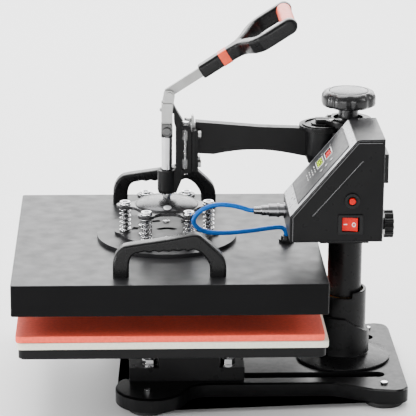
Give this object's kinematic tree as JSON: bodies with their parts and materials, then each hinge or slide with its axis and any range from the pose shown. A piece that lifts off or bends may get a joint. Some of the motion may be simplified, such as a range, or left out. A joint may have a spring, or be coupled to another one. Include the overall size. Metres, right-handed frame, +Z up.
{
  "type": "heat press",
  "caption": "Swing-away heat press: square heated platen on a toggle-lever ram, controller box, column and cast base with rubber feet.",
  "frame": {"origin": "centre of the press's bounding box, at the height of the surface it stands on", "axes": "+X from the user's side towards the column, +Y across the press, +Z up"},
  "size_m": [0.502, 0.39, 0.4925],
  "materials": {
    "black_casting": "satin black textured paint",
    "black_paint": "satin black powder coat",
    "dark_steel": "black oxide",
    "steel": "brushed",
    "chrome": "bright plated",
    "brass": "machined",
    "aluminium": "satin",
    "silver_paint": "silver-grey hammered paint",
    "rubber": "matt",
    "silicone": "orange silicone",
    "foam": "cream silicone foam",
    "black_plastic": "fine texture",
    "grip_plastic": "soft-touch",
    "orange_plastic": "satin",
    "red_plastic": "translucent gloss",
    "panel_film": "printed film",
    "display": "dark window",
    "board": "solder mask",
    "blue_cable": "blue silicone sleeve",
    "grey_cap": "satin"
  },
  "bodies": {
    "base": {"base_casting": "black_casting", "rubber_feet": "rubber", "foot_bolts": "chrome", "column_socket": "black_casting", "socket_bushing": "brass", "socket_bolts": "steel", "lower_bracket": "black_paint", "bracket_bolts": "chrome", "levelling_posts": "chrome", "lower_plate": "black_paint", "foam_pad": "foam", "silicone_pad": "silicone"},
    "swing": {"column_tube": "black_paint", "tube_plug": "dark_steel", "swing_arm": "black_casting", "boss_cap": "black_paint", "clamp_ring": "dark_steel", "clamp_screws": "chrome", "arm_end_plate": "black_casting", "arm_bolts": "chrome", "toggle_frame": "black_casting", "top_strap": "steel", "height_screw": "chrome", "guide_bushing": "steel", "grease_nipple": "steel", "pivot_pin": "steel", "box_collar": "dark_steel", "box_bolts": "chrome", "controller_shell": "black_paint", "near_side_cover": "black_paint", "far_side_cover": "black_paint", "control_panel": "panel_film", "led_displays": "display", "circuit_board": "board", "connector_socket": "chrome", "cable_plug": "chrome", "mains_inlet": "black_plastic", "switch_bezel": "black_plastic", "breaker_body": "black_plastic", "heater_cable": "blue_cable"},
    "rocker": {"switch_rocker": "red_plastic"},
    "button": {"reset_button": "red_plastic"},
    "side_knob": {"collar_knob": "black_plastic"},
    "top_knob": {"pressure_knob": "black_plastic", "knob_cap": "grey_cap"},
    "lever": {"lever_bar": "steel", "fork_grip": "grip_plastic", "grip_band": "orange_plastic", "cross_grip": "orange_plastic"},
    "link": {"toggle_link": "steel"},
    "ram": {"ram_tube": "chrome", "ram_clevis": "dark_steel", "spider_plate": "silver_paint"},
    "platen": {"platen_bolts": "chrome", "platen_springs": "chrome", "mounting_discs": "black_paint", "platen_cover": "black_paint", "heating_plate": "aluminium", "carrying_handles": "grip_plastic", "cable_gland": "black_plastic"}
  },
  "joints": [
    {"name": "swing_away", "type": "hinge", "parent": "base", "child": "swing", "pos_m": [0.177, 0, 0.03], "axis": [0, 0, 1], "continuous": true},
    {"name": "ram_stroke", "type": "slide", "parent": "swing", "child": "ram", "axis": [0, 0, -1], "range_m": [0, 0.02692]},
    {"name": "lever_turn", "type": "hinge", "parent": "swing", "child": "lever", "pos_m": [-0.056, 0, 0.3675], "axis": [0, -1, 0], "range_deg": [0, 160.5]},
    {"name": "link_turn", "type": "hinge", "parent": "ram", "child": "link", "pos_m": [-0.056, 0, 0.336], "axis": [0, -1, 0], "range_deg": [0, 13.75]},
    {"name": "platen_float", "type": "slide", "parent": "ram", "child": "platen", "axis": [0, 0, 1], "range_m": [0, 0.004], "stiffness_N_per_m": 24000, "springref_m": -0.004, "deforming": ["platen_springs"]},
    {"name": "pressure_knob_turn", "type": "hinge", "parent": "swing", "child": "top_knob", "pos_m": [0.177, 0, 0.367], "axis": [0, 0, 1], "continuous": true},
    {"name": "collar_knob_turn", "type": "hinge", "parent": "swing", "child": "side_knob", "pos_m": [0.2225, 0, 0.208], "axis": [1, 0, 0], "continuous": true},
    {"name": "power_switch", "type": "hinge", "parent": "swing", "child": "rocker", "pos_m": [0.1685, -0.137, 0.251], "axis": [0, 0, 1], "range_deg": [0, 20]},
    {"name": "breaker_reset", "type": "slide", "parent": "swing", "child": "button", "axis": [0, 1, 0], "range_m": [0, 0.0025], "stiffness_N_per_m": 400, "springref_m": -0.001}
  ],
  "couplings": [
    {"joint": "lever_turn", "follows": "ram_stroke", "rad_per_m": 103.73},
    {"joint": "link_turn", "follows": "ram_stroke", "rad_per_m": 8.7204}
  ]
}
